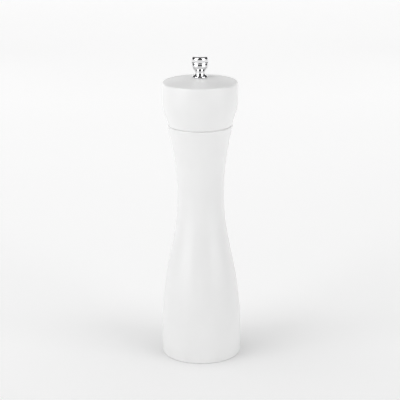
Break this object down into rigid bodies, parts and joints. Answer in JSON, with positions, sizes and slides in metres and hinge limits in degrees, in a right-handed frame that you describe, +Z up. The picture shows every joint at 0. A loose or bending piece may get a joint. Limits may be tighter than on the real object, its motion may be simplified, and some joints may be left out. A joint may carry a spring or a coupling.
{
  "type": "pepper mill",
  "caption": "Hourglass wooden pepper mill in white lacquer, with a turning head, a chrome adjusting knob and a steel burr grinder.",
  "frame": {"origin": "centre of the foot at the table", "axes": "+Z up along the shaft, from the foot to the knob"},
  "size_m": [0.0555, 0.0554, 0.2122],
  "materials": {
    "white_lacquer": "satin white lacquer on beech",
    "chrome": "polished",
    "steel": "bright zinc plated",
    "nylon": "natural nylon",
    "aluminium": "brushed",
    "brass": "satin",
    "silicone": "translucent grey",
    "spring_steel": "black oxide",
    "spring_wire": "drawn wire",
    "burr_steel": "machined and hardened",
    "cast_alloy": "fine cast"
  },
  "bodies": {
    "barrel": {"barrel": "white_lacquer", "stator_housing": "cast_alloy", "stator": "burr_steel", "bridge": "steel", "retaining_plate": "steel", "mechanism_screws": "steel"},
    "guide_bush": {"guide_bush": "nylon", "spring_seat_top": "steel", "spring": "spring_wire"},
    "shaft": {"shaft": "steel", "rotor": "burr_steel", "spring_seat_bottom": "steel", "thrust_washer": "brass", "shaft_clip": "spring_steel", "stop_clip": "spring_steel"},
    "head": {"head": "white_lacquer", "drive_plate": "aluminium", "drive_plate_screws": "brass", "tenon_ring": "silicone", "top_bush": "nylon"},
    "knob_washer": {"knob_washer": "steel"},
    "knob": {"knob": "chrome"}
  },
  "joints": [
    {"name": "head_turn", "type": "hinge", "parent": "barrel", "child": "guide_bush", "pos_m": [0, 0, 0.03], "axis": [0, 0, 1], "continuous": true},
    {"name": "grind_adjust", "type": "slide", "parent": "guide_bush", "child": "shaft", "axis": [0, 0, 1], "range_m": [-0.0012, 0.0004], "deforming": ["spring"]},
    {"name": "head_lift", "type": "slide", "parent": "guide_bush", "child": "head", "axis": [0, 0, 1], "range_m": [0, 0.06]},
    {"name": "knob_lift", "type": "slide", "parent": "head", "child": "knob_washer", "axis": [0, 0, 1], "range_m": [0, 0.02]},
    {"name": "knob_turn", "type": "hinge", "parent": "knob_washer", "child": "knob", "pos_m": [0, 0, 0.2], "axis": [0, 0, 1], "range_deg": [-180, 540]}
  ],
  "couplings": [
    {"joint": "knob_turn", "follows": "grind_adjust", "rad_per_m": -7854}
  ]
}
